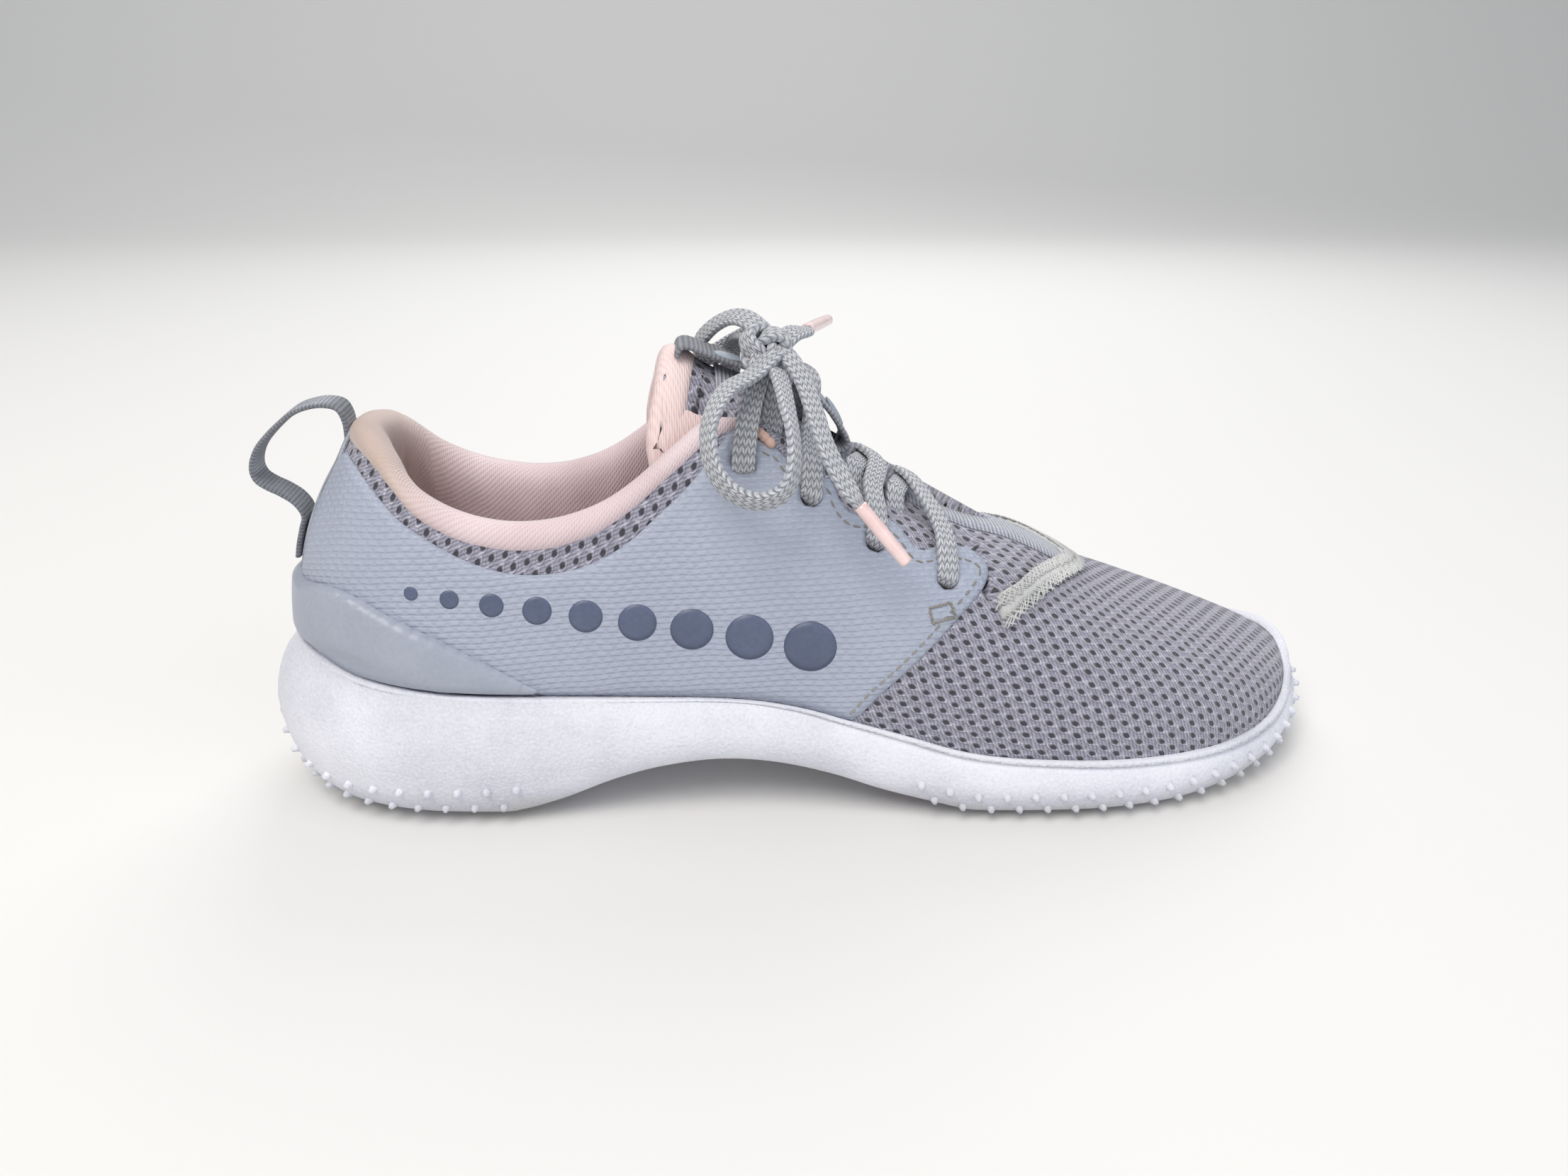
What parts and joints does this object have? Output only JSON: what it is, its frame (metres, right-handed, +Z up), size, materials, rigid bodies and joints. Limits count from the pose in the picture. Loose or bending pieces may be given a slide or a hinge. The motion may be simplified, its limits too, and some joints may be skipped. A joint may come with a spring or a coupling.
{
  "type": "golf shoe",
  "caption": "Low-cut laced golf shoe for the right foot: cupped foam sole with rubber pods, mesh upper under welded film, moulded heel clip, padded collar and tongue, heel pull loop.",
  "frame": {"origin": "middle of the shoe's footprint box, on the floor, measured without the free lace", "axes": "+X to the toe, +Y to the medial side of this right shoe, +Z up"},
  "size_m": [0.279, 0.0986, 0.1209],
  "materials": {
    "midsole_foam": "satin",
    "outsole_rubber": "matte",
    "board": "matte",
    "spacer_mesh": "matte",
    "film": "satin",
    "clip_tpu": "satin",
    "tape": "matte",
    "foam": "matte",
    "pink_lining": "satin",
    "lace_cotton": "matte",
    "aglet_plastic": "gloss",
    "stiffener": "matte"
  },
  "bodies": {
    "upper": {"midsole": "midsole_foam", "outsole_forefoot_pod": "outsole_rubber", "outsole_heel_pod": "outsole_rubber", "lasting_board": "board", "sockliner": "pink_lining", "vamp_mesh": "spacer_mesh", "collar_mesh": "spacer_mesh", "heel_clip": "clip_tpu", "quarter_film_lateral": "film", "quarter_film_medial": "film", "heel_tape": "tape", "heel_counter": "stiffener", "collar_foam": "foam", "collar_lining": "pink_lining", "toe_puff": "stiffener", "vamp_lining": "pink_lining", "throat_seam": "tape", "lace_under_1": "lace_cotton", "lace_over_1": "lace_cotton", "lace_under_2": "lace_cotton", "lace_over_2": "lace_cotton", "lace_under_3": "lace_cotton", "lace_over_3": "lace_cotton", "lace_knot": "lace_cotton", "lace_rise_lateral": "lace_cotton", "lace_rise_medial": "lace_cotton", "lace_bow_near": "lace_cotton", "lace_bow_far": "lace_cotton", "lace_end_near": "lace_cotton", "lace_end_far": "lace_cotton", "aglet_near": "aglet_plastic", "aglet_far": "aglet_plastic"},
    "tongue": {"tongue_mesh": "spacer_mesh", "tongue_foam": "foam", "tongue_lining": "pink_lining", "tongue_ribbon": "tape", "tongue_keeper": "tape"},
    "pull_loop": {"heel_loop": "tape"}
  },
  "joints": [
    {"name": "tongue_fold", "type": "hinge", "parent": "upper", "child": "tongue", "pos_m": [0.0645, -0.0013, 0.05], "axis": [0, -1, 0], "range_deg": [0, 8]},
    {"name": "pull_loop_swing", "type": "hinge", "parent": "upper", "child": "pull_loop", "pos_m": [-0.1204, 0.0017, 0.084], "axis": [-0.5019, 0, -0.8649], "range_deg": [-18, 18], "stiffness_Nm_per_rad": 0.004}
  ]
}
